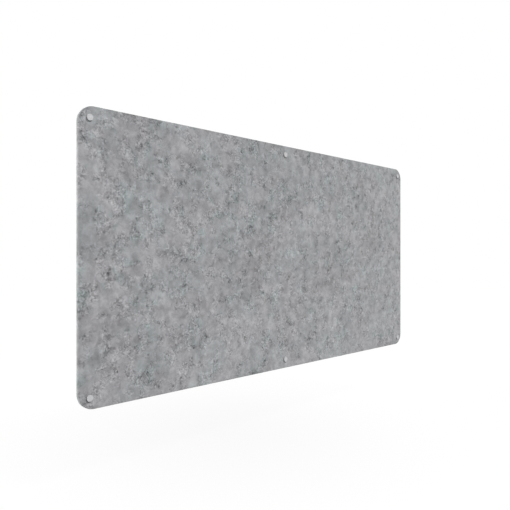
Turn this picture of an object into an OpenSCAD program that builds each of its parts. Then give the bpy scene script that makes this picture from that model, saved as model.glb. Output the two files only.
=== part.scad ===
// Acoustic pinboard for a wall: one board of pressed felt with round corners, held off
// the wall by six turned standoffs. Each standoff is a spacer that a countersunk screw
// fixes to the wall, and a cap whose stud passes through the board into the spacer.
// Millimetres. The wall is the plane Y = 0, the room is towards -Y and Z is up. The
// origin is on the wall, at the middle of the screw pattern.

/* [Board] */
// Width of the board, along X
board_w = 1800; // [900:10:2400]
// Height of the board, along Z
board_h = 900; // [450:10:1200]
// Thickness of the pressed felt
board_t = 12; // [8:0.5:25]
// Radius of the outline's four corners
corner_r = 50; // [20:1:80]
// Rounding of the edge, on the front face and on the back face
arris_r = 1; // [0.5:0.1:3]

/* [Fixings] */
// Distance from the board's edges to the axes of the corner fixings
fixing_inset = 35; // [25:1:80]

/* [Caps] */
// Diameter of the cap's head
cap_d = 20; // [17:0.5:30]
// Thickness of the cap's head
cap_t = 3.5; // [2:0.1:8]
// Bevel round the front of the cap's head
cap_bevel = 0.4; // [0.2:0.1:1.5]
// Outer diameter of the stud's thread
stud_d = 10; // [8.8:0.1:12]
// Length of the stud that is screwed into the spacer
stud_grip = 8; // [5:0.5:12]
// Bevel at the stud's end
stud_bevel = 0.8; // [0.3:0.1:1.5]

/* [Washers] */
// Outer diameter of the washers in front of and behind the board
washer_d = 16; // [14:0.5:18]
// Thickness of a washer
washer_t = 1; // [0.5:0.1:2]

/* [Spacers] */
// Diameter of the spacer
spacer_d = 20; // [17:0.5:30]
// Length of the spacer, which is the gap between the wall and the rear washer
spacer_l = 20; // [19:0.5:60]
// Thickness of the spacer's floor, which the wall screw clamps
spacer_floor = 6; // [4:0.5:7]
// Bevel round both ends of the spacer
spacer_bevel = 0.5; // [0.2:0.1:1.5]

/* [Wall screws] */
// Outer diameter of the screw's thread
screw_d = 4; // [3:0.1:5]
// Length of the screw, from the top of its head to its tip
screw_l = 40; // [25:1:80]
// Diameter of the countersunk head
screw_head_d = 8; // [6:0.1:8.6]
// Diameter of the plain shank under the head
screw_shank_d = 2.9; // [2:0.1:2.9]
// Length of the screw's point
screw_point_l = 6; // [3:0.5:10]

/* [Clearances] */
// Gap between the stud and the board's hole, on the radius
board_hole_gap = 0.5; // [0.2:0.1:1.5]
// Gap between the stud and the washers' bore, on the radius
washer_gap = 0.25; // [0.1:0.05:0.8]
// Gap between the stud and the spacer's threaded socket, on the radius
thread_gap = 0.05; // [0.02:0.01:0.2]
// Gap between the screw's thread and the hole in the spacer's floor, on the radius
screw_hole_gap = 0.25; // [0.1:0.05:0.5]
// Gap between the screw's head and its countersink
seat_gap = 0.05; // [0.02:0.01:0.2]

/* [Hidden] */
$fn = 96;
half_turn = 180;
quarter_turn = 90;

// How far a cutter runs past the faces that it cuts
overrun = 1;

// Run-out groove where a thread ends at a shoulder
groove_w = 1.5;
groove_depth = 0.7;
// Lead-in at the mouth of the spacer's socket
socket_bevel = 0.5;
// Upright edge of the screw's head, above its cone
head_edge = 0.3;
// Crossed slots that the screwdriver turns
drive_slot_l = 4.6;
drive_slot_w = 0.9;
drive_slot_depth = 1.8;

// Levels above the wall of the faces where the pieces meet
board_back = spacer_l + washer_t;
board_front = board_back + board_t;
cap_back = board_front + washer_t;

// Sizes that follow from the ones above
board_hole_r = stud_d / 2 + board_hole_gap;
washer_bore_r = stud_d / 2 + washer_gap;
socket_r = stud_d / 2 + thread_gap;
stud_l = cap_back - spacer_l + stud_grip;
screw_hole_r = screw_d / 2 + screw_hole_gap;
countersink_r = screw_head_d / 2 + head_edge + seat_gap;

// The fixings stand in three columns and two rows: each has a name, and its place as a
// share of the distance from the board's middle to the corner fixings
column_names = ["left", "middle", "right"];
column_shares = [-1, 0, 1];
row_names = ["top", "bottom"];
row_shares = [1, -1];
column_reach = board_w / 2 - fixing_inset;
row_reach = board_h / 2 - fixing_inset;
fixings = [
    for (r = [0 : len(row_names) - 1])
        for (c = [0 : len(column_names) - 1])
            [
                str(row_names[r], "_", column_names[c]),
                [column_shares[c] * column_reach, row_shares[r] * row_reach]
            ]
];

// Stands up what is drawn lying on the wall's plane, so that its Z points into the room
module on_wall() {
    rotate([quarter_turn, 0, 0]) children();
}

module at_fixing(f, level = 0) {
    on_wall() translate([f[1][0], f[1][1], level]) children();
}

// Section through the board's rim, from the centre of a corner to the outside
module rim_section() {
    square([corner_r - arris_r, board_t]);
    translate([0, arris_r]) square([corner_r, board_t - 2 * arris_r]);
    for (y = [arris_r, board_t - arris_r])
        translate([corner_r - arris_r, y]) circle(arris_r);
}

// Straight stretch of the rim, whose outside faces +X
module rim_run(length) {
    rotate([quarter_turn, 0, 0])
        linear_extrude(height = length, center = true) rim_section();
}

// The board before drilling: a flat middle, four straight stretches of rim between the
// corners, and the same section swept round each corner
module board_blank() {
    inner_w = board_w - 2 * corner_r;
    inner_h = board_h - 2 * corner_r;
    translate([-inner_w / 2, -inner_h / 2, 0]) cube([inner_w, inner_h, board_t]);
    for (turn = [0, half_turn]) rotate([0, 0, turn]) {
        translate([inner_w / 2, 0, 0]) rim_run(inner_h);
        translate([0, inner_h / 2, 0]) rotate([0, 0, quarter_turn]) rim_run(inner_w);
        translate([inner_w / 2, inner_h / 2, 0])
            rotate_extrude(angle = quarter_turn) rim_section();
        translate([-inner_w / 2, inner_h / 2, 0])
            rotate([0, 0, quarter_turn])
                rotate_extrude(angle = quarter_turn) rim_section();
    }
}

module felt_board() {
    color("#9a9b9d") on_wall() translate([0, 0, board_back])
        difference() {
            board_blank();
            for (f = fixings)
                translate([f[1][0], f[1][1], -overrun])
                    cylinder(r = board_hole_r, h = board_t + 2 * overrun);
        }
}

// Cap turned in one piece with its stud: drawn from the back of the head, with the stud
// pointing down and a run-out groove where the thread meets the head
module cap() {
    head_r = cap_d / 2;
    stud_r = stud_d / 2;
    color("#cacaca") rotate_extrude() polygon([
        [0, -stud_l],
        [stud_r - stud_bevel, -stud_l],
        [stud_r, -stud_l + stud_bevel],
        [stud_r, -groove_w],
        [stud_r - groove_depth, -groove_w],
        [stud_r - groove_depth, 0],
        [head_r, 0],
        [head_r, cap_t - cap_bevel],
        [head_r - cap_bevel, cap_t],
        [0, cap_t]
    ]);
}

module washer() {
    color("#d8dadc") difference() {
        cylinder(d = washer_d, h = washer_t);
        translate([0, 0, -overrun]) cylinder(r = washer_bore_r, h = washer_t + 2 * overrun);
    }
}

// Spacer turned from bar: a threaded socket for the stud with a run-out groove at its
// bottom, and a floor with a countersunk hole for the wall screw
module spacer() {
    outer_r = spacer_d / 2;
    color("#b9bbbe") rotate_extrude() polygon([
        [screw_hole_r, 0],
        [outer_r - spacer_bevel, 0],
        [outer_r, spacer_bevel],
        [outer_r, spacer_l - spacer_bevel],
        [outer_r - spacer_bevel, spacer_l],
        [socket_r + socket_bevel, spacer_l],
        [socket_r, spacer_l - socket_bevel],
        [socket_r, spacer_floor + groove_w],
        [socket_r + groove_depth, spacer_floor + groove_w],
        [socket_r + groove_depth, spacer_floor],
        [countersink_r, spacer_floor],
        [screw_hole_r, spacer_floor - countersink_r + screw_hole_r]
    ]);
}

// Countersunk screw, flush with the spacer's floor: a plain shank inside the spacer, and
// the thread's outer diameter from the wall's plane on
module wall_screw() {
    head_r = screw_head_d / 2;
    shank_r = screw_shank_d / 2;
    thread_r = screw_d / 2;
    point = screw_l - spacer_floor;
    color("#a5a7aa") difference() {
        rotate_extrude() polygon([
            [0, spacer_floor],
            [head_r, spacer_floor],
            [head_r, spacer_floor - head_edge],
            [shank_r, spacer_floor - head_edge - head_r + shank_r],
            [shank_r, 0],
            [thread_r, 0],
            [thread_r, screw_point_l - point],
            [0, -point]
        ]);
        for (turn = [0, quarter_turn]) rotate([0, 0, turn])
            translate([-drive_slot_l / 2, -drive_slot_w / 2, spacer_floor - drive_slot_depth])
                cube([drive_slot_l, drive_slot_w, drive_slot_depth + overrun]);
    }
}

felt_board();

for (f = fixings) {
    at_fixing(f, cap_back) cap();
    at_fixing(f, board_front) washer();
    at_fixing(f, spacer_l) washer();
    at_fixing(f) spacer();
    at_fixing(f) wall_screw();  // wall_screws
}
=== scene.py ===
import math

import bmesh
import bpy
import numpy as np
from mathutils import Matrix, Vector, noise
from mathutils.geometry import delaunay_2d_cdt


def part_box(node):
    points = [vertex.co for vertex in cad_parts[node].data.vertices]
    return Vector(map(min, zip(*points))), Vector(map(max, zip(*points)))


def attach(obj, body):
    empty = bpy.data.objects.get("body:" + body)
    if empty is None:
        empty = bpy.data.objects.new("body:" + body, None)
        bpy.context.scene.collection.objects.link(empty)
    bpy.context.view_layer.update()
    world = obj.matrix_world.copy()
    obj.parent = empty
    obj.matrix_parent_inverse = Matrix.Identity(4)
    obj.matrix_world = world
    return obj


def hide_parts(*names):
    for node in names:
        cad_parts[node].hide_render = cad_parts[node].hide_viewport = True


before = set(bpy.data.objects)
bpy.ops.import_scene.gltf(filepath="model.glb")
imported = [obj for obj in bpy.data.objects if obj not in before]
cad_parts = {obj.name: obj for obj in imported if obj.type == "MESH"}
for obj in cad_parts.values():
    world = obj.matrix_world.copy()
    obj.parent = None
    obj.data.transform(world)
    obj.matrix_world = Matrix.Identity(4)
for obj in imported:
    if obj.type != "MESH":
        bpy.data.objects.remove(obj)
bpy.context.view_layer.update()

# Lengths are in metres
MM = 0.001
FULL_TURN = 2 * math.pi
QUARTER_TURN = FULL_TURN / 4

# Meshes: edges sharper than this angle stay sharp, points nearer than these lengths join on
# the board and on small pieces, and edges shorter than the last one go
SHARP_ANGLE = math.radians(35)
BOARD_JOIN = 0.01 * MM
SMALL_JOIN = 0.002 * MM
TINY = 0.001 * MM

# Camera: level, turned 45 degrees to the board, at the photograph's distance
IMAGE_PX = 510
FOCAL_PX = 552.3
CAMERA_TURN = math.radians(45)
CAMERA_PLACE = (-1.673, -1.533, 0.008)
SENSOR_MM = 36.0

# Light: an even dome, a key lamp from the upper right and a soft fill lamp from behind on the
# left. A lamp's side is its angle to the right of the way that the board faces
DOME_STRENGTH = 0.38
KEY_STRENGTH = 2.85
KEY_ANGLE = math.radians(10)
KEY_HEIGHT = math.radians(50)
KEY_SIDE = math.radians(18)
FILL_STRENGTH = 3.6
FILL_ANGLE = math.radians(40)
FILL_HEIGHT = math.radians(14)
FILL_SIDE = math.radians(-115)

# Floor: its level against the board's middle, the share of its lit colour that the camera
# sees, its white, and the depth, reach and middle of a pale pool of painted shade
FLOOR_LEVEL = -0.70
FLOOR_REACH = 9.0
FLOOR_COLOUR = (0.55, 0.55, 0.55, 1)
FLOOR_SHADE_SHARE = 0.028
FLOOR_GLOW = 1.01
# A pool of painted shade on the floor under the board: its depth, reach and middle
FLOOR_PAINTED_SHADE = 0.045
FLOOR_PAINTED_SHADE_REACH = 0.95
FLOOR_PAINTED_SHADE_CENTRE = (-0.2, 0.1, FLOOR_LEVEL)
WHITE = (1, 1, 1, 1)

# Felt board: what its part's box in model.glb doesn't tell of its shape, and how finely it is
# meshed
CORNER_R = 50 * MM
ARRIS_R = 1 * MM
HOLE_R = 5.5 * MM
FRONT_STEP = 5.6 * MM
BACK_STEP = 12 * MM
EDGE_STEP = 6 * MM
CORNER_STEPS = 26
ARRIS_STEPS = 4
WALL_STEPS = 3
HOLE_STEPS = 32
# Two triangles become one square where they are as flat and as square as this
SQUARE_FLATNESS = math.radians(5)
SQUARE_SHAPE = math.radians(60)
# The felt swells a little between the washers that clamp it, and has a soft relief. Both
# grow from nothing at one radius round each fixing to all at another
SWELL = 0.15 * MM
RELIEF = 0.14 * MM
RELIEF_SIZE = 24 * MM
RELIEF_FALL = 0.6
RELIEF_RATIO = 2.0
RELIEF_OCTAVES = 3
CLAMPED_R = 8.6 * MM
FREE_R = 17 * MM
# Its map for baking, from below: the front, strips for the rim, one strip for the holes, and
# the back. These are shares of the map's height and width
MAP_EDGE = 0.001
MAP_FACE_H = 0.468
MAP_GAP = 0.004
MAP_STRIP_H = 0.012
MAP_STRIP_W = 0.99
MAP_STRIP_GAP = 0.002
# The length of rim on one strip, and the share of it after which the next strip starts
MAP_RUN = 1.8
MAP_RUN_FULL = 0.995
# The holes' strip, and the length of it that each hole has
MAP_HOLE_STRIP = 3
MAP_HOLE_RUN = 8 * HOLE_R

# Rounded corners of turned profiles: the steps of their curve, and how far off it the flat
# beside it has a point, as a share of the rounding
SOFTEN_STEPS = 4
SOFTEN_REACH = 1.4

# Caps: the head, the run-out groove behind it, and the thread of the stud
CAP_EDGE_R = 0.15 * MM
CAP_BEVEL = 0.4 * MM
CAP_HEAD_T = 3.5 * MM
STUD_R = 5 * MM
STUD_BEVEL = 0.8 * MM
GROOVE_W = 1.5 * MM
GROOVE_R = 4.3 * MM
THREAD_ROOT_R = 4.08 * MM
THREAD_PITCH = 1.5 * MM
# The lengths in which the thread's root falls behind the groove, and rises at the stud's end
THREAD_ROOT_IN = 0.3 * MM
THREAD_ROOT_OUT = 0.2 * MM
# A thread's form over one pitch, as (share of the pitch, share of the height)
THREAD_FORM = [(0, 0), (0.16, 0), (0.46, 1), (0.58, 1), (0.88, 0), (1, 0)]
LATHE_STEPS = 64

# Wall screws
SCREW_R = 2 * MM
SCREW_ROOT_R = 1.3 * MM
SCREW_SHANK_R = 1.45 * MM
SCREW_HEAD_R = 4 * MM
SCREW_HEAD_EDGE = 0.3 * MM
SCREW_PITCH = 1.8 * MM
SCREW_POINT_L = 6 * MM
SCREW_TIP_L = 0.15 * MM
SCREW_TIP_R = 0.05 * MM
# The lengths in which the thread's root and crest leave the shank
SCREW_ROOT_IN = 0.6 * MM
SCREW_CREST_IN = 1.2 * MM
SCREW_FORM = [(0, 0), (0.30, 0), (0.47, 1), (0.53, 1), (0.70, 0), (1, 0)]
SCREW_STEPS = 40
SCREW_EDGE_R = 0.12 * MM
# The cross recess at the head's top, and what is left of it at its floor
DRIVE_DEPTH = 1.8 * MM
DRIVE_L = 4.6 * MM
DRIVE_W = 0.9 * MM
DRIVE_FLOOR_L = 0.5 * DRIVE_L
DRIVE_FLOOR_W = 0.6 * DRIVE_W


# Camera and light
def link(thing):
    bpy.context.scene.collection.objects.link(thing)
    return thing


def make_camera():
    data = bpy.data.cameras.new("camera")
    data.sensor_width = SENSOR_MM
    data.lens = FOCAL_PX / IMAGE_PX * SENSOR_MM
    camera = link(bpy.data.objects.new("camera", data))
    camera.location = CAMERA_PLACE
    camera.rotation_euler = (QUARTER_TURN, 0, -CAMERA_TURN)
    bpy.context.scene.camera = camera


class Tree:
    """Short ways to add nodes to one node tree."""

    def __init__(self, tree):
        self.nodes = tree.nodes
        self.links = tree.links

    def put(self, socket, value):
        if isinstance(value, bpy.types.NodeSocket):
            self.links.new(value, socket)
        else:
            socket.default_value = value

    def add(self, kind, inputs=(), output=0, **settings):
        node = self.nodes.new(kind)
        for name, value in settings.items():
            setattr(node, name, value)
        for name, value in dict(inputs).items():
            self.put(node.inputs[name], value)
        return node.outputs[output]

    def end(self, kind, surface):
        self.links.new(surface, self.nodes.new(kind).inputs["Surface"])

    def math(self, operation, a, b=0.0):
        return self.add("ShaderNodeMath", {0: a, 1: b}, operation=operation)

    def vector(self, operation, a, b):
        second = "Scale" if operation == "SCALE" else 1
        return self.add("ShaderNodeVectorMath", {0: a, second: b}, operation=operation)

    def sum(self, *values):
        total = values[0]
        for value in values[1:]:
            total = self.math("ADD", total, value)
        return total

    def times(self, *values):
        product = values[0]
        for value in values[1:]:
            product = self.math("MULTIPLY", product, value)
        return product

    def noise(self, place, size, detail=0.0, roughness=0.5, output=0):
        inputs = {"Vector": place, "Scale": 1 / size, "Detail": detail, "Roughness": roughness}
        return self.add("ShaderNodeTexNoise", inputs, output)

    def centred(self, place, size, detail=0.0, roughness=0.5):
        """The same noise, about nought."""
        return self.math("SUBTRACT", self.noise(place, size, detail, roughness), 0.5)

    def ramp(self, value, low, high, start=0.0, end=1.0):
        """Goes smoothly from start to end while value goes from low to high."""
        inputs = {"Value": value, "From Min": low, "From Max": high, "To Min": start, "To Max": end}
        return self.add("ShaderNodeMapRange", inputs, interpolation_type="SMOOTHSTEP")

    def bump(self, height, distance):
        return self.add("ShaderNodeBump", {"Height": height, "Distance": distance, "Strength": 1.0})

    def seen(self):
        """1 for rays from the camera, or by way of a reflection or glass, and 0 for the rest."""
        path = self.nodes.new("ShaderNodeLightPath").outputs
        direct = self.math("MAXIMUM", path["Is Camera Ray"], path["Is Glossy Ray"])
        return self.math("MAXIMUM", direct, path["Is Transmission Ray"])


def new_material(name, **constants):
    """A material, its tree and its shader's sockets, with the constant ones set."""
    material = bpy.data.materials.new(name)
    material.use_nodes = True
    shader = material.node_tree.nodes["Principled BSDF"].inputs
    for socket, value in constants.items():
        shader[socket.replace("_", " ")].default_value = value
    return material, Tree(material.node_tree), shader


def make_world():
    world = bpy.data.worlds.new("studio")
    bpy.context.scene.world = world
    world.use_nodes = True
    world.node_tree.nodes.clear()
    tree = Tree(world.node_tree)
    dome = tree.add("ShaderNodeBackground", {"Color": WHITE, "Strength": DOME_STRENGTH})
    white = tree.add("ShaderNodeBackground", {"Color": WHITE, "Strength": 1.0})
    both = tree.add("ShaderNodeMixShader", {"Fac": tree.seen(), 1: dome, 2: white})
    tree.end("ShaderNodeOutputWorld", both)


def add_sun(name, strength, angle, height, side, gleams=True):
    """A distant lamp. Height is its angle above the floor. Where it gleams, shiny surfaces
    mirror it."""
    data = bpy.data.lights.new(name, "SUN")
    data.energy = strength
    data.angle = angle
    lamp = link(bpy.data.objects.new(name, data))
    lamp.rotation_euler = (QUARTER_TURN - height, 0, side)
    lamp.visible_glossy = gleams


def make_floor():
    reach = FLOOR_REACH
    corners = [(-reach, -reach), (reach, -reach), (reach, reach), (-reach, reach)]
    mesh = bpy.data.meshes.new("floor")
    mesh.from_pydata([(x, y, FLOOR_LEVEL) for x, y in corners], [], [(0, 1, 2, 3)])
    material, tree, _ = new_material("floor")
    tree.nodes.clear()
    matt = tree.add("ShaderNodeBsdfDiffuse", {"Color": FLOOR_COLOUR})
    # A pale pool of painted shade lies under the board, besides the real shadow that the lamps
    # throw
    place = tree.add("ShaderNodeTexCoord", output="Object")
    away = tree.vector("SUBTRACT", place, FLOOR_PAINTED_SHADE_CENTRE)
    away = tree.vector("SCALE", away, 1 / FLOOR_PAINTED_SHADE_REACH)
    painted_shade = tree.add("ShaderNodeTexGradient", {"Vector": away}, 1, gradient_type="SPHERICAL")
    # The floor's white less the painted shade, which is deepest at the pool's middle
    level = tree.math("SUBTRACT", FLOOR_GLOW, tree.ramp(painted_shade, 0, 1, 0, FLOOR_PAINTED_SHADE))
    glow_with_painted_shade = tree.add("ShaderNodeEmission", {"Color": WHITE, "Strength": level})
    share = tree.times(tree.seen(), 1 - FLOOR_SHADE_SHARE)
    both = tree.add("ShaderNodeMixShader", {"Fac": share, 1: matt, 2: glow_with_painted_shade})
    tree.end("ShaderNodeOutputMaterial", both)
    mesh.materials.append(material)
    link(bpy.data.objects.new("floor", mesh))


# Materials: the first two numbers in a ramp are levels of noise, which lies about 0.5
CAP_COLOUR = (0.512, 0.515, 0.525)
CAP_CLOUD_SIZE = 6 * MM
CAP_GRAIN_SIZE = 0.3 * MM
CAP_BUMP = 0.05 * MM
SPACER_COLOUR = (0.53, 0.53, 0.54)
# The width of the turning cuts, as a share of the spacer
SPACER_CUT_SHARE = 0.012
SPACER_BUMP = 0.02 * MM
NYLON_COLOUR = (0.68, 0.69, 0.71)
NYLON_CLOUD_SIZE = 4 * MM
NYLON_GRAIN_SIZE = 0.5 * MM
NYLON_BUMP = 0.01 * MM
ZINC_COOL = (0.38, 0.41, 0.44)
ZINC_WARM = (0.43, 0.41, 0.36)
ZINC_TINT_SIZE = 5 * MM
ZINC_WEAR_SIZE = 0.8 * MM
ZINC_BUMP = 0.02 * MM
FELT_COLOUR = (0.2969, 0.293, 0.3045)
FELT_BUMP = 0.12 * MM
# The sizes of the felt's broad and small patches of green tint, and what each adds to 1
BROAD_TINT_SIZE = 120 * MM
BROAD_TINT = (-0.046, 0.0, -0.008)
SMALL_TINT_SIZE = 42 * MM
SMALL_TINT = (-0.065, 0.0, -0.02)

# The felt's tone between its marks, and each mark's size and how far it moves the tone.
# Wisps and fibres have a length and a width, and turns in degrees
FELT_TONE = 0.962
CLOUD_SIZE = 180 * MM
CLOUD_TONE = 0.78
# Where the noise of the clouds is read, chosen for clouds as even as the photograph's
CLOUD_SHIFT = (2.3, 0.5, 4.4)
BLOTCH_SIZE = 36 * MM
BLOTCH_TONE = 1.18
MOTTLE_SIZE = 12 * MM
MOTTLE_TONE = 0.25
WISP_L = 20 * MM
WISP_W = 4 * MM
WISP_TURNS = (35, 95, 155)
DARK_WISP_TONE = -0.13
PALE_WISP_TONE = 0.09
TUFT_SIZE = 15 * MM
TUFT_TONE = -0.20
FLECK_SIZE = 8 * MM
FLECK_TONE = 0.17
FIBRE_L = 12 * MM
FIBRE_W = 0.55 * MM
FIBRE_TURNS = (12, 73, 134)
FIBRE_TONE = 0.26
# How far fibres shift the edges of wisps, tufts and flecks
FRAY = 0.22
# How far the blotches curl, and over what size
DRIFT_REACH = 24 * MM
DRIFT_SIZE = 26 * MM
# The size of the busy and the smooth patches
BUSY_SIZE = 44 * MM


def strands(tree, place, turn, length, width):
    """Noise drawn out into strands that lie in the board's plane, turned about Y by degrees."""
    inputs = {
        "Vector": place, "Rotation": (0, math.radians(turn), 0), "Scale": (length, width, width)}
    turned = tree.add("ShaderNodeMapping", inputs, vector_type="TEXTURE")
    return tree.noise(turned, 1.0, 1.0, 0.5)


def felt_material():
    material, tree, shader = new_material(
        "pressed_felt", Roughness=0.92, Sheen_Weight=0.4, Sheen_Roughness=0.5,
        Specular_IOR_Level=0.25)
    place = tree.add("ShaderNodeTexCoord", output="Object")
    # Wandering coordinates, so that the blotches curl
    drift = tree.noise(place, DRIFT_SIZE, 1.0, output="Color")
    drift = tree.vector("SUBTRACT", drift, (0.5, 0.5, 0.5))
    drift = tree.vector("SCALE", drift, DRIFT_REACH)
    bent = tree.vector("ADD", place, drift)

    # Busy felt, full of strands, wisps, tufts and flecks, lies between smooth and paler patches
    busy = tree.ramp(tree.noise(bent, BUSY_SIZE, 1.0, 0.6), 0.40, 0.60, 0.12, 1.5)
    # Single strands, which show only from near by, and which fray all that follows
    fibres = [strands(tree, bent, turn, FIBRE_L, FIBRE_W) for turn in FIBRE_TURNS]
    pale = [tree.ramp(fibre, 0.57, 0.69, 0, FIBRE_TONE) for fibre in fibres]
    dark = [tree.ramp(fibre, 0.43, 0.31, 0, -FIBRE_TONE) for fibre in fibres]
    single = tree.times(tree.sum(*pale, *dark), tree.sum(0.4, tree.times(busy, 0.6)))
    # Each fibre's noise lies about 0.5, so this lies about nought
    fray = tree.times(tree.sum(-0.5 * len(fibres), *fibres), FRAY)

    far = tree.vector("ADD", place, CLOUD_SHIFT)
    clouds = tree.times(tree.centred(far, CLOUD_SIZE, 3.0, 0.8), CLOUD_TONE)
    blotches = tree.times(tree.centred(bent, BLOTCH_SIZE, 2.0, 0.7), BLOTCH_TONE)
    mottle = tree.times(tree.centred(bent, MOTTLE_SIZE, 1.0, 0.6), busy, MOTTLE_TONE)
    # Wisps: bundles of strands that are darker or paler than the rest
    wisps = [
        tree.sum(strands(tree, bent, turn, WISP_L, WISP_W), fray) for turn in WISP_TURNS]
    dark_wisps = [
        tree.times(tree.ramp(wisp, 0.54, 0.65, 0, DARK_WISP_TONE), busy) for wisp in wisps]
    pale_wisps = [
        tree.times(tree.ramp(wisp, 0.45, 0.33, 0, PALE_WISP_TONE), busy) for wisp in wisps]
    tuft = tree.sum(tree.noise(bent, TUFT_SIZE, 2.0, 0.6), fray)
    tufts = tree.times(tree.ramp(tuft, 0.565, 0.645), busy, TUFT_TONE)
    fleck = tree.sum(tree.noise(place, FLECK_SIZE), fray)
    flecks = tree.times(tree.ramp(fleck, 0.60, 0.72, 0, FLECK_TONE), busy)
    tone = tree.sum(
        FELT_TONE, clouds, blotches, mottle, tufts, flecks, *dark_wisps, *pale_wisps, single)
    tree.put(shader["Base Color"], tinted(tree, bent, tone))
    height = tree.sum(mottle, *fibres)
    tree.put(shader["Normal"], tree.bump(height, FELT_BUMP))
    return material


def tinted(tree, place, tone):
    """The felt's colour at a tone, with broad faintly green patches and small greener ones."""
    broad = tree.ramp(tree.noise(place, BROAD_TINT_SIZE, 3.0, 0.6), 0.44, 0.56)
    small = tree.ramp(tree.noise(place, SMALL_TINT_SIZE, 1.0), 0.60, 0.72)
    tint = tree.vector("ADD", tree.vector("SCALE", BROAD_TINT, broad), (1, 1, 1))
    tint = tree.vector("ADD", tree.vector("SCALE", SMALL_TINT, small), tint)
    return tree.vector("MULTIPLY", tree.vector("SCALE", FELT_COLOUR, tone), tint)


def cap_material():
    """Blasted metal: an even matt grain, with faint cloudy changes of gloss."""
    material, tree, shader = new_material(
        "blasted_aluminium", Metallic=0.45, Specular_IOR_Level=0.4)
    place = tree.add("ShaderNodeTexCoord", output="Object")
    cloud = tree.noise(place, CAP_CLOUD_SIZE, 2.0)
    grain = tree.noise(place, CAP_GRAIN_SIZE, 2.0, 0.7)
    cloud_level = tree.ramp(cloud, 0.3, 0.7, 0.96, 1.0)
    grain_level = tree.ramp(grain, 0.35, 0.65, 0.94, 1.06)
    level = tree.times(cloud_level, grain_level)
    tree.put(shader["Base Color"], tree.vector("SCALE", CAP_COLOUR, level))
    tree.put(shader["Roughness"], tree.ramp(cloud, 0.3, 0.7, 0.80, 0.74))
    tree.put(shader["Normal"], tree.bump(grain, CAP_BUMP))
    return material


def turned_material():
    """Turned metal: rings round the axis on the ends, and round the side."""
    material, tree, shader = new_material("turned_aluminium", Metallic=1.0, Anisotropic=0.5)
    place = tree.add("ShaderNodeTexCoord", output="Generated")
    centred = tree.vector("SUBTRACT", place, (0.5, 0.5, 0.5))
    split = tree.nodes.new("ShaderNodeSeparateXYZ")
    tree.put(split.inputs[0], centred)
    radius = tree.math("SQRT", tree.sum(
        tree.times(split.outputs["X"], split.outputs["X"]),
        tree.times(split.outputs["Z"], split.outputs["Z"])))
    rings = tree.add("ShaderNodeCombineXYZ", {"X": radius, "Y": split.outputs["Y"]})
    cuts = tree.noise(rings, SPACER_CUT_SHARE, 1.0)
    level = tree.ramp(cuts, 0.3, 0.7, 0.9, 1.0)
    tree.put(shader["Base Color"], tree.vector("SCALE", SPACER_COLOUR, level))
    tree.put(shader["Roughness"], tree.ramp(cuts, 0.3, 0.7, 0.50, 0.38))
    tree.put(shader["Normal"], tree.bump(cuts, SPACER_BUMP))
    return material


def nylon_material():
    """Uncoloured nylon: milky, satin and faintly cloudy."""
    material, tree, shader = new_material("milky_nylon", Specular_IOR_Level=0.45)
    place = tree.add("ShaderNodeTexCoord", output="Object")
    cloud = tree.noise(place, NYLON_CLOUD_SIZE, 2.0)
    level = tree.ramp(cloud, 0.3, 0.7, 0.94, 1.0)
    tree.put(shader["Base Color"], tree.vector("SCALE", NYLON_COLOUR, level))
    tree.put(shader["Roughness"], tree.ramp(cloud, 0.3, 0.7, 0.5, 0.4))
    grain = tree.noise(place, NYLON_GRAIN_SIZE, 1.0)
    tree.put(shader["Normal"], tree.bump(grain, NYLON_BUMP))
    return material


def zinc_material():
    """Zinc plating: bright, with pale yellow and blue tints."""
    material, tree, shader = new_material("zinc_plated_steel", Metallic=1.0)
    place = tree.add("ShaderNodeTexCoord", output="Object")
    share = tree.ramp(tree.noise(place, ZINC_TINT_SIZE, 2.0), 0.35, 0.65)
    cool = tree.vector("SCALE", ZINC_COOL, share)
    warm = tree.vector("SCALE", ZINC_WARM, tree.math("SUBTRACT", 1.0, share))
    tree.put(shader["Base Color"], tree.vector("ADD", cool, warm))
    wear = tree.noise(place, ZINC_WEAR_SIZE, 2.0)
    tree.put(shader["Roughness"], tree.ramp(wear, 0.3, 0.7, 0.38, 0.24))
    tree.put(shader["Normal"], tree.bump(wear, ZINC_BUMP))
    return material


# Pieces
def finish_piece(mesh, name, material, node):
    """Makes the mesh a piece that stands for the node."""
    mesh.materials.append(material)
    mesh.shade_smooth()
    mesh.set_sharp_from_angle(angle=SHARP_ANGLE)
    piece = link(bpy.data.objects.new(name, mesh))
    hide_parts(node)
    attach(piece, "root")
    return piece


# Felt board
class Surface:
    """Collects points, faces and the places of the faces' corners on the bake map."""

    def __init__(self):
        self.points, self.ways, self.faces, self.maps = [], [], [], []

    def add_points(self, points, ways):
        """ways point out of the felt. They are nought where the relief leaves a point alone."""
        start = len(self.points)
        self.points += [tuple(p) for p in points]
        self.ways += [tuple(w) for w in ways]
        return start

    def add_face(self, corners, places):
        self.faces.append(tuple(corners))
        self.maps += places

    def relieve(self):
        """Moves each point along its way by the felt's relief."""
        for i, (point, way) in enumerate(zip(self.points, self.ways)):
            if any(way):
                place = Vector(point)
                wave = noise.fractal(
                    place / RELIEF_SIZE, RELIEF_FALL, RELIEF_RATIO, RELIEF_OCTAVES)
                lift = free_share(point) * (SWELL + RELIEF * wave)
                self.points[i] = tuple(place + Vector(way) * lift)

    def build(self, name):
        mesh = bpy.data.meshes.new(name)
        mesh.from_pydata(self.points, [], self.faces)
        layer = mesh.uv_layers.new(name="OFBake")
        layer.data.foreach_set("uv", np.array(self.maps, np.float32).ravel())
        work = bmesh.new()
        work.from_mesh(mesh)
        bmesh.ops.remove_doubles(work, verts=work.verts, dist=BOARD_JOIN)
        work.to_mesh(mesh)
        work.free()
        return mesh


def fixing_axes():
    """Each fixing's name, and the place of its axis as x and z."""
    axes = {}
    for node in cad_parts:
        if node.startswith("cap_"):
            middle = sum(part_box(node), Vector()) / 2
            axes[node[len("cap_"):]] = np.array((middle.x, middle.z))
    return axes


AXES = fixing_axes()


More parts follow.
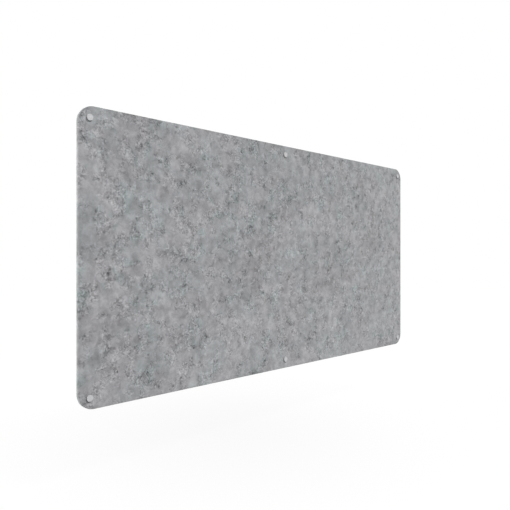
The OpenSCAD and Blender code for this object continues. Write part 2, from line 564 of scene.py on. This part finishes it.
def free_share(point):
    """0 under a washer and 1 well away from the fixings."""
    reach = min(math.hypot(point[0] - x, point[2] - z) for x, z in AXES.values())
    share = min(max((reach - CLAMPED_R) / (FREE_R - CLAMPED_R), 0), 1)
    return share * share * (3 - 2 * share)


def clear_of_fixings(places, reach):
    """Which places lie further than reach from every fixing's axis."""
    return np.all([np.hypot(*(places - axis).T) > reach for axis in AXES.values()], axis=0)


def board_outline(half_w, half_h):
    """Places round the outline, anticlockwise as seen from the front, and the way out at each."""
    places, ways = [], []
    for quarter, (side_x, side_z) in enumerate([(1, 1), (-1, 1), (-1, -1), (1, -1)]):
        centre = np.array((side_x * (half_w - CORNER_R), side_z * (half_h - CORNER_R)))
        for step in range(CORNER_STEPS + 1):
            turn = (quarter + step / CORNER_STEPS) * QUARTER_TURN
            ways.append(np.array((math.cos(turn), math.sin(turn))))
            places.append(centre + CORNER_R * ways[-1])
        run = 2 * ((half_h if quarter % 2 else half_w) - CORNER_R)
        steps = round(run / EDGE_STEP)
        along = np.array((-ways[-1][1], ways[-1][0]))
        for step in range(1, steps):
            places.append(places[-1] + along * run / steps)
            ways.append(ways[-1])
    return np.array(places), np.array(ways)


def hole_circle():
    """Places round a hole, about its axis."""
    turns = np.arange(HOLE_STEPS) / HOLE_STEPS * FULL_TURN
    return HOLE_R * np.stack((np.cos(turns), np.sin(turns)), -1)


def flat_face(ring, step):
    """Places and faces of a flat face inside the ring, with the fixings' holes left open."""
    half_w, half_h = ring.max(0)
    columns, rows = round(2 * half_w / step), round(2 * half_h / step)
    xs = np.linspace(-half_w, half_w, columns + 1)[1:-1]
    zs = np.linspace(-half_h, half_h, rows + 1)[1:-1]
    grid = np.stack(np.meshgrid(xs, zs), -1).reshape(-1, 2)
    corner = CORNER_R - ARRIS_R
    past = np.maximum(np.abs(grid) - (half_w - corner, half_h - corner), 0)
    grid = grid[(np.hypot(*past.T) < corner - step / 2) & clear_of_fixings(grid, HOLE_R + step / 2)]
    loops = [ring] + [axis + hole_circle() for axis in AXES.values()]
    edges, start = [], len(grid)
    for loop in loops:
        edges += [(start + i, start + (i + 1) % len(loop)) for i in range(len(loop))]
        start += len(loop)
    places = [Vector(place) for place in np.concatenate([grid] + loops)]
    made = delaunay_2d_cdt(places, edges, [], 1, TINY)
    places, faces = np.array([tuple(v) for v in made[0]]), np.array(made[2])
    faces = faces[clear_of_fixings(places[faces].mean(1), HOLE_R)]

    # Pairs of triangles become squares again
    work = bmesh.new()
    corners = [work.verts.new((x, y, 0)) for x, y in places]
    for face in faces:
        work.faces.new([corners[i] for i in face])
    work.normal_update()
    work.verts.index_update()
    bmesh.ops.join_triangles(
        work, faces=work.faces[:], angle_face_threshold=SQUARE_FLATNESS,
        angle_shape_threshold=SQUARE_SHAPE)
    faces = [[v.index for v in face.verts] for face in work.faces]
    work.free()
    return places, faces


def make_board(material):
    low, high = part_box("felt_board")
    outline, ways = board_outline(*(high - low).xz / 2)
    surface = Surface()
    add_flats(surface, outline - ARRIS_R * ways, low.y, high.y)
    add_rim(surface, outline, ways, low.y, high.y)
    add_holes(surface, low.y, high.y)
    surface.relieve()
    finish_piece(surface.build("felt_board"), "pressed_felt_board", material, "felt_board")


def add_flats(surface, ring, front, back):
    size = ring.max(0) * 2
    for y, step, side in ((front, FRONT_STEP, -1), (back, BACK_STEP, 1)):
        places, faces = flat_face(ring, step)
        start = surface.add_points([(x, y, z) for x, z in places], [(0, side, 0)] * len(places))
        shares = places / size + 0.5
        floor = MAP_EDGE if side < 0 else 1 - MAP_EDGE - MAP_FACE_H
        width = 1 - 2 * MAP_EDGE
        spots = [(MAP_EDGE + width * u, floor + MAP_FACE_H * v) for u, v in shares]
        for face in faces:
            if side > 0:
                face = face[::-1]
            surface.add_face([start + i for i in face], [spots[i] for i in face])


def strip_spots(runs, share_low, share_high, strip):
    """Places on the map of a face between two runs round an edge, as (run, share of the strip)."""
    floor = MAP_EDGE + MAP_FACE_H + MAP_GAP + strip * (MAP_STRIP_H + MAP_STRIP_GAP)
    us = [MAP_EDGE + MAP_STRIP_W * run / MAP_RUN for run in runs]
    vs = [floor + MAP_STRIP_H * share for share in (share_low, share_high)]
    return [(us[0], vs[0]), (us[0], vs[1]), (us[1], vs[1]), (us[1], vs[0])]


def add_rim(surface, outline, ways, front, back):
    # Each ring's inset, depth and turn of its way out, from the front to the back
    turns = [step / ARRIS_STEPS * QUARTER_TURN for step in range(ARRIS_STEPS + 1)]
    front_arris = [(ARRIS_R * (1 - math.sin(t)), ARRIS_R * (1 - math.cos(t)), t) for t in turns]
    thick = back - front
    straight = thick - 2 * ARRIS_R
    wall = [
        (0, ARRIS_R + straight * step / WALL_STEPS, QUARTER_TURN) for step in range(1, WALL_STEPS)]
    back_arris = [
        (inset, thick - depth, 2 * QUARTER_TURN - t) for inset, depth, t in front_arris[::-1]]
    rings = front_arris + wall + back_arris
    starts = []
    for inset, depth, turn in rings:
        points = [(x, front + depth, z) for x, z in outline - inset * ways]
        out = [(x * math.sin(turn), -math.cos(turn), z * math.sin(turn)) for x, z in ways]
        starts.append(surface.add_points(points, out))
    bands = len(rings) - 1
    lengths = np.hypot(*(np.roll(outline, -1, 0) - outline).T)
    run, strip = 0.0, 0
    for i, length in enumerate(lengths):
        after = (i + 1) % len(outline)
        for j, (a, b) in enumerate(zip(starts, starts[1:])):
            spots = strip_spots((run, run + length), j / bands, (j + 1) / bands, strip)
            surface.add_face((a + i, b + i, b + after, a + after), spots)
        run += length
        if run > MAP_RUN * MAP_RUN_FULL:
            run, strip = 0.0, strip + 1


def add_holes(surface, front, back):
    bands = WALL_STEPS + 1
    still = [(0, 0, 0)] * HOLE_STEPS
    around = FULL_TURN * HOLE_R / HOLE_STEPS
    for number, axis in enumerate(AXES.values()):
        starts = []
        for y in np.linspace(front, back, bands + 1):
            points = [(x, y, z) for x, z in axis + hole_circle()]
            starts.append(surface.add_points(points, still))
        for i in range(HOLE_STEPS):
            after = (i + 1) % HOLE_STEPS
            runs = [number * MAP_HOLE_RUN + around * k for k in (i, i + 1)]
            for j, (a, b) in enumerate(zip(starts, starts[1:])):
                spots = strip_spots(runs, j / bands, (j + 1) / bands, MAP_HOLE_STRIP)
                corners = (a + i, a + after, b + after, b + i)
                surface.add_face(corners, [spots[0], spots[3], spots[2], spots[1]])


# Turned pieces
def soften(corners):
    """A profile of (radius, place along the axis, rounding), with its corners rounded."""
    points = []
    for i, (r, y, rounding) in enumerate(corners):
        here = Vector((r, y))
        if not rounding:
            points.append(here)
            continue
        before = (Vector(corners[i - 1][:2]) - here).normalized() * rounding
        after = (Vector(corners[i + 1][:2]) - here).normalized() * rounding
        shares = [step / SOFTEN_STEPS for step in range(SOFTEN_STEPS + 1)]
        curve = [here + before * (1 - t) ** 2 + after * t ** 2 for t in shares]
        # A point a little further off on either side keeps the flat beside the curve flat
        points += [here + before * SOFTEN_REACH] + curve + [here + after * SOFTEN_REACH]
    return points


def lathe(work, profile, steps):
    """Adds the surface that the profile sweeps about the Y axis."""
    turns = [i / steps * FULL_TURN for i in range(steps)]
    rings = [
        [work.verts.new((r * math.cos(t), y, r * math.sin(t))) for t in turns] for r, y in profile]
    for a, b in zip(rings, rings[1:]):
        for i in range(steps):
            after = (i + 1) % steps
            work.faces.new((a[i], a[after], b[after], b[i]))


def thread(work, root, crest, pitch, form, steps):
    """Adds a right-hand thread's surface about the Y axis. root and crest are profiles of
    (place, radius) that meet at both ends."""
    first, last = root[0][0], root[-1][0]
    turns = math.ceil((last - first) / pitch) + 2
    rows = []
    for turn in range(turns):
        for share, _ in form[:-1]:
            row = []
            for i in range(steps + 1):
                lead = i / steps
                y = min(max(first + pitch * (turn + share - lead), first), last)
                phase = ((y - first) / pitch + lead) % 1.0
                low = np.interp(y, *zip(*root))
                high = np.interp(y, *zip(*crest))
                r = low + (high - low) * np.interp(phase, *zip(*form))
                angle = lead * FULL_TURN
                row.append(work.verts.new((r * math.cos(angle), y, r * math.sin(angle))))
            rows.append(row)
    for a, b in zip(rows, rows[1:]):
        for i in range(steps):
            work.faces.new((a[i], a[i + 1], b[i + 1], b[i]))


def closed_mesh(work, name):
    """Joins what meets, drops faces without area and makes a mesh."""
    bmesh.ops.remove_doubles(work, verts=work.verts, dist=SMALL_JOIN)
    bmesh.ops.dissolve_degenerate(work, edges=work.edges, dist=TINY)
    bmesh.ops.recalc_face_normals(work, faces=work.faces)
    mesh = bpy.data.meshes.new(name)
    work.to_mesh(mesh)
    work.free()
    return mesh


def cap_mesh():
    """Cap with its threaded stud about the Y axis, with the back of the head at y = 0."""
    head_low, head_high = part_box("cap_top_left")
    head_r = (head_high.x - head_low.x) / 2
    stud_l = head_high.y - head_low.y - CAP_HEAD_T
    work = bmesh.new()
    head = [
        (0, -CAP_HEAD_T, 0),
        (head_r - CAP_BEVEL, -CAP_HEAD_T, CAP_EDGE_R),
        (head_r, -CAP_HEAD_T + CAP_BEVEL, CAP_EDGE_R),
        (head_r, 0, CAP_EDGE_R),
        # One more point keeps the flat round the groove flat
        (GROOVE_R + 3 * CAP_EDGE_R, 0, 0),
        (GROOVE_R + CAP_EDGE_R, 0, 0),
        (GROOVE_R, CAP_EDGE_R, 0),
        (GROOVE_R, GROOVE_W, 0),
    ]
    lathe(work, soften(head), LATHE_STEPS)
    end_r = STUD_R - STUD_BEVEL
    root = [
        (GROOVE_W, GROOVE_R),
        (GROOVE_W + THREAD_ROOT_IN, THREAD_ROOT_R),
        (stud_l - THREAD_ROOT_OUT, THREAD_ROOT_R),
        (stud_l, end_r),
    ]
    crest = [
        (GROOVE_W, GROOVE_R),
        (GROOVE_W + STUD_R - GROOVE_R, STUD_R),
        (stud_l - STUD_BEVEL, STUD_R),
        (stud_l, end_r),
    ]
    thread(work, root, crest, THREAD_PITCH, THREAD_FORM, LATHE_STEPS)
    lathe(work, [(end_r, stud_l), (end_r / 2, stud_l), (0, stud_l)], LATHE_STEPS)
    return closed_mesh(work, "cap")


def make_caps(material):
    mesh = cap_mesh()
    for name, (x, z) in AXES.items():
        node = "cap_" + name
        cap = finish_piece(mesh.copy(), "turned_" + node, material, node)
        cap.location = (x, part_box(node)[0].y + CAP_HEAD_T, z)


def cross_outline(length, width):
    """Corners of a cross of two crossed slots, anticlockwise."""
    a, b = length / 2, width / 2
    arm = [(a, -b), (a, b), (b, b)]
    corners = []
    for _ in range(4):
        corners += arm
        arm = [(-y, x) for x, y in arm]
    return corners


def add_drive(work, r):
    """Adds the flat top of a screw's head, out to radius r, and the tapered cross in it."""
    cross = cross_outline(DRIVE_L, DRIVE_W)
    turns = [i / SCREW_STEPS * FULL_TURN for i in range(SCREW_STEPS)]
    circle = [(r * math.cos(t), r * math.sin(t)) for t in turns]
    count = len(cross)
    edges = [(i, (i + 1) % count) for i in range(count)]
    edges += [(count + i, count + (i + 1) % SCREW_STEPS) for i in range(SCREW_STEPS)]
    made = delaunay_2d_cdt([Vector(place) for place in cross + circle], edges, [], 1, TINY)
    top = [work.verts.new((x, 0, z)) for x, z in made[0]]
    # The faces that fill the cross are left out
    for face in made[2]:
        x, z = sum((made[0][i] for i in face), Vector((0, 0))) / 3
        across = min(abs(x), abs(z)), max(abs(x), abs(z))
        if across[0] > DRIVE_W / 2 or across[1] > DRIVE_L / 2:
            work.faces.new([top[i] for i in face])
    upper = [work.verts.new((x, 0, z)) for x, z in cross]
    foot = cross_outline(DRIVE_FLOOR_L, DRIVE_FLOOR_W)
    lower = [work.verts.new((x, DRIVE_DEPTH, z)) for x, z in foot]
    for i in range(count):
        work.faces.new((upper[i - 1], upper[i], lower[i], lower[i - 1]))
    work.faces.new(lower)


def screw_mesh():
    """Countersunk wood screw about the Y axis, with the top of its head at y = 0 and its point
    towards +Y."""
    low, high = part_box("wall_screws")
    length = high.y - low.y
    wall = -low.y
    cone_end = SCREW_HEAD_EDGE + SCREW_HEAD_R - SCREW_SHANK_R
    work = bmesh.new()
    add_drive(work, SCREW_HEAD_R - SOFTEN_REACH * SCREW_EDGE_R)
    head = [
        (0, 0, 0),
        (SCREW_HEAD_R, 0, SCREW_EDGE_R),
        (SCREW_HEAD_R, SCREW_HEAD_EDGE, 0),
        (SCREW_SHANK_R, cone_end, SCREW_EDGE_R),
        (SCREW_SHANK_R, wall, 0),
    ]
    lathe(work, soften(head)[1:], SCREW_STEPS)
    point = length - SCREW_POINT_L
    tip = length - SCREW_TIP_L
    root = [
        (wall, SCREW_SHANK_R),
        (wall + SCREW_ROOT_IN, SCREW_ROOT_R),
        (point, SCREW_ROOT_R),
        (tip, SCREW_TIP_R),
    ]
    crest = [
        (wall, SCREW_SHANK_R),
        (wall + SCREW_CREST_IN, SCREW_R),
        (point, SCREW_R),
        (tip, SCREW_TIP_R),
    ]
    thread(work, root, crest, SCREW_PITCH, SCREW_FORM, SCREW_STEPS)
    lathe(work, [(SCREW_TIP_R, tip), (0, length)], SCREW_STEPS)
    return closed_mesh(work, "wall_screw")


def make_screws(material):
    """The six wall screws, which model.glb keeps as one node."""
    single, work = screw_mesh(), bmesh.new()
    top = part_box("wall_screws")[0].y
    for x, z in AXES.values():
        start = len(work.verts)
        work.from_mesh(single)
        work.verts.ensure_lookup_table()
        bmesh.ops.translate(work, verts=work.verts[start:], vec=(x, top, z))
    mesh = bpy.data.meshes.new("wall_screws")
    work.to_mesh(mesh)
    work.free()
    finish_piece(mesh, "threaded_wall_screws", material, "wall_screws")


make_camera()
make_world()
add_sun("key", KEY_STRENGTH, KEY_ANGLE, KEY_HEIGHT, KEY_SIDE)
add_sun("fill", FILL_STRENGTH, FILL_ANGLE, FILL_HEIGHT, FILL_SIDE, gleams=False)
make_floor()
make_board(felt_material())
make_caps(cap_material())
make_screws(zinc_material())
nylon, turned = nylon_material(), turned_material()
for node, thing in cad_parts.items():
    if "washer" in node or "spacer" in node:
        for slot in thing.material_slots:
            slot.material = nylon if "washer" in node else turned
bpy.context.scene.view_settings.view_transform = "Standard"
